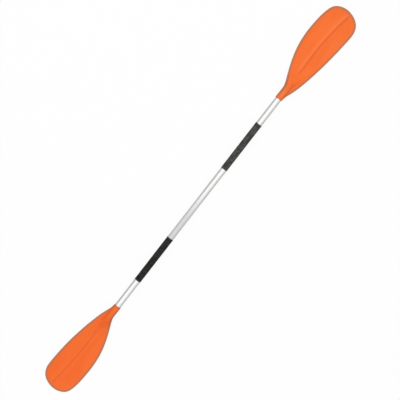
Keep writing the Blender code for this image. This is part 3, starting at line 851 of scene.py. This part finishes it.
def make_end_plugs():
    """Push-in plugs: a flange with a pulled-in face, and a skirt with three gripping ribs."""
    for side, word in ((1, "right"), (-1, "left")):
        node = f"{word}_tube_plug"
        low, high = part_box(node)
        length, lip = high.x - low.x, (high.z - low.z) / 2
        flange, fit, wall = 0.0022, TUBE_BORE - CLEARANCE, 0.0018
        skirt, between_ribs = length - flange, fit - 0.0004
        outer = [(0.0, fit - wall), (0.0, fit - 0.0006), (0.0006, between_ribs)]
        for foot in (0.0020, 0.0056, 0.0092):
            outer += [(foot, between_ribs), (foot + 0.0016, fit), (foot + 0.0018, between_ribs)]
        outer += [(skirt, between_ribs), (skirt, lip - 0.0003), (skirt + 0.0003, lip)]
        outer += [(length - 0.0006, lip), (length, lip - 0.0006), (length, lip * 0.55)]
        outer += [(length - 0.0008, lip * 0.45)]
        profile = outer + [(length - 0.0008, 0.0006)]
        inside = [(skirt, 0.0006), (skirt, fit - wall)]
        end = low.x if side > 0 else high.x
        points = [(end + side * x, radius) for x, radius in profile + inside]
        piece(f"{word}_tube_plug_moulded", turned(points), "black_nylon", node)


def make_button():
    """A pressed button: a rounded crown on a round stem, and the flange that keeps it in the spigot."""
    low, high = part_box("snap_button")
    flange = (high.x - low.x) / 2
    top, foot = AXIS_HEIGHT - low.z, AXIS_HEIGHT - high.z
    radius, crown, shoulder = 0.0038, 0.0016, foot + 0.0012
    dome = [
        (top - crown + crown * math.cos(a), radius * math.sin(a))
        for a in np.radians(np.linspace(3, 90, 16))
    ]
    ease = 0.0002
    stem = [(shoulder + 0.0003, radius), (shoulder, radius + 0.0003), (shoulder, flange - ease)]
    base = [(shoulder - ease, flange), (foot + ease, flange), (foot, flange - ease)]
    mesh = radial_turned(dome + stem + base, middle_x("snap_button"), sides=64)
    piece("snap_button_pressed_steel", mesh, "steel", "snap_button")


def make_button_spring():
    """A hairpin of spring strip with rounded edges, one leg behind the button and one on the far wall."""
    low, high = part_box("button_spring")
    width, thick = high.y - low.y, 0.0006
    back, front = low.z + thick / 2, high.z - thick / 2
    half, middle = (front - back) / 2, (front + back) / 2
    bend_x = high.x - thick / 2 - half
    button_low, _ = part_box("snap_button")
    path = [(x, back) for x in np.linspace(button_low.x, bend_x, 8)]
    path += [(bend_x + half * math.cos(a), middle + half * math.sin(a))
             for a in np.radians(np.linspace(-90, 90, 25))[1:-1]]
    path += [(x, front) for x in np.linspace(bend_x, low.x, 10)]
    path = np.array(path)
    run = np.gradient(path, axis=0)
    run /= np.linalg.norm(run, axis=1)[:, None]
    side = np.stack([-run[:, 1], run[:, 0]], axis=1)
    ease = 0.00015
    section = [
        (width / 2, -thick / 2 + ease), (width / 2, thick / 2 - ease), (width / 2 - ease, thick / 2),
        (-width / 2 + ease, thick / 2), (-width / 2, thick / 2 - ease), (-width / 2, -thick / 2 + ease),
        (-width / 2 + ease, -thick / 2), (width / 2 - ease, -thick / 2),
    ]
    rows = [[(x + sx * t, y, z + sz * t) for y, t in section] for (x, z), (sx, sz) in zip(path, side)]
    mesh = skin(rows)
    spring = piece("button_spring_bent", mesh, "steel", "button_spring")
    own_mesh(spring)


# ---------------------------------------------------------------- camera, light and floor
def make_camera():
    """Looks down on the power faces, with the shaft rising from lower left to upper right."""
    lean = Vector((0.0, math.sin(CAMERA_LEAN), math.cos(CAMERA_LEAN)))
    back = math.sin(CAMERA_TILT) * Vector((1.0, 0.0, 0.0)) + math.cos(CAMERA_TILT) * lean
    along = (Vector((1.0, 0.0, 0.0)) - back.x * back).normalized()
    across = back.cross(along)
    right = math.cos(SHAFT_SLOPE) * along - math.sin(SHAFT_SLOPE) * across
    up = math.sin(SHAFT_SLOPE) * along + math.cos(SHAFT_SLOPE) * across
    aim = Vector((0.0, 0.0, AXIS_HEIGHT)) + VIEW_OFFSET[0] * right + VIEW_OFFSET[1] * up
    camera = bpy.data.objects.new("camera", bpy.data.cameras.new("camera"))
    camera.data.lens = CAMERA_LENS
    camera.data.sensor_width = 36.0
    camera.data.clip_end = 200.0
    turn = Matrix((right, up, back)).transposed().to_4x4()
    camera.matrix_world = Matrix.Translation(aim + CAMERA_DISTANCE * back) @ turn
    bpy.context.scene.collection.objects.link(camera)
    bpy.context.scene.camera = camera


def make_lights():
    """Soft boxes that face the paddle's middle or straight down, hidden from the camera."""
    for number, (centre, size, watts, turned_in) in enumerate(SOFTBOXES, 1):
        lamp = bpy.data.lights.new(f"softbox_{number}", "AREA")
        lamp.shape = "RECTANGLE"
        lamp.size, lamp.size_y = size
        lamp.energy = watts
        box = bpy.data.objects.new(f"softbox_{number}", lamp)
        box.location = centre
        if turned_in:
            box.rotation_euler = Vector(centre).to_track_quat("Z", "Y").to_euler()
        box.visible_camera = False
        bpy.context.scene.collection.objects.link(box)


def camera_or_light(tree, seen, lit):
    """Seen by the camera as one shader, and by everything else as another."""
    mix = tree.nodes.new("ShaderNodeMixShader")
    path = tree.nodes.new("ShaderNodeLightPath")
    tree.links.new(path.outputs["Is Camera Ray"], mix.inputs["Fac"])
    tree.links.new(lit.outputs[0], mix.inputs[1])
    tree.links.new(seen.outputs[0], mix.inputs[2])
    return mix


def make_world():
    """A pale dome, bright overhead and darker towards the horizon, which looks white to the camera."""
    world = bpy.data.worlds.new("studio")
    world.use_nodes = True
    tree = world.node_tree
    lit = tree.nodes["Background"]
    place = tree.nodes.new("ShaderNodeTexCoord")
    parts = tree.nodes.new("ShaderNodeSeparateXYZ")
    fall = tree.nodes.new("ShaderNodeMapRange")
    fall.interpolation_type = "SMOOTHSTEP"
    fall.inputs["From Min"].default_value, fall.inputs["From Max"].default_value = WORLD_FALL
    fall.inputs["To Min"].default_value = WORLD_HORIZON
    fall.inputs["To Max"].default_value = WORLD_OVERHEAD
    lit.inputs["Color"].default_value = (1.0, 1.0, 1.0, 1.0)
    tree.links.new(place.outputs["Generated"], parts.inputs[0])
    tree.links.new(parts.outputs["Z"], fall.inputs["Value"])
    tree.links.new(fall.outputs[0], lit.inputs["Strength"])
    seen = tree.nodes.new("ShaderNodeBackground")
    seen.inputs["Color"].default_value = (WORLD_SEEN, WORLD_SEEN, WORLD_SEEN, 1.0)
    mix = camera_or_light(tree, seen, lit)
    tree.links.new(mix.outputs[0], tree.nodes["World Output"].inputs["Surface"])
    bpy.context.scene.world = world


def make_floor():
    """A plain white floor, lit from below as on a light table, so that shadows nearly vanish."""
    shape = bmesh.new()
    bmesh.ops.create_grid(shape, x_segments=4, y_segments=4, size=FLOOR_SIZE / 2)
    mesh = bpy.data.meshes.new("floor")
    shape.to_mesh(mesh)
    shape.free()
    floor = bpy.data.objects.new("floor", mesh)
    floor.location.z = -FLOOR_DROP
    material = bpy.data.materials.new("floor")
    material.use_nodes = True
    tree = material.node_tree
    paper = tree.nodes["Principled BSDF"]
    paper.inputs["Base Color"].default_value = (FLOOR_BOUNCE, FLOOR_BOUNCE, FLOOR_BOUNCE, 1.0)
    paper.inputs["Roughness"].default_value = 0.9
    glow = tree.nodes.new("ShaderNodeEmission")
    glow.inputs["Color"].default_value = (FLOOR_GLOW, FLOOR_GLOW, FLOOR_GLOW, 1.0)
    sheet = tree.nodes.new("ShaderNodeBsdfDiffuse")
    sheet.inputs["Color"].default_value = (FLOOR_SHEET, FLOOR_SHEET, FLOOR_SHEET, 1.0)
    both = tree.nodes.new("ShaderNodeAddShader")
    tree.links.new(glow.outputs[0], both.inputs[0])
    tree.links.new(sheet.outputs[0], both.inputs[1])
    mix = camera_or_light(tree, both, paper)
    tree.links.new(mix.outputs[0], tree.nodes["Material Output"].inputs["Surface"])
    mesh.materials.append(material)
    bpy.context.scene.collection.objects.link(floor)


FINISHES = {
    "orange_plastic": orange_plastic(),
    "aluminium": aluminium(),
    "grip_rubber": grip_rubber(),
    "black_nylon": black_nylon(),
    "steel": steel(),
    "foam": foam(),
    "seal_rubber": seal_rubber(),
}
make_camera()
make_lights()
make_world()
make_floor()
bpy.context.scene.view_settings.view_transform = "Standard"
make_blades()
make_tubes()
make_grips()
make_rivets()
make_spigot()
make_seal()
make_bungs()
make_end_plugs()
make_button()
make_button_spring()
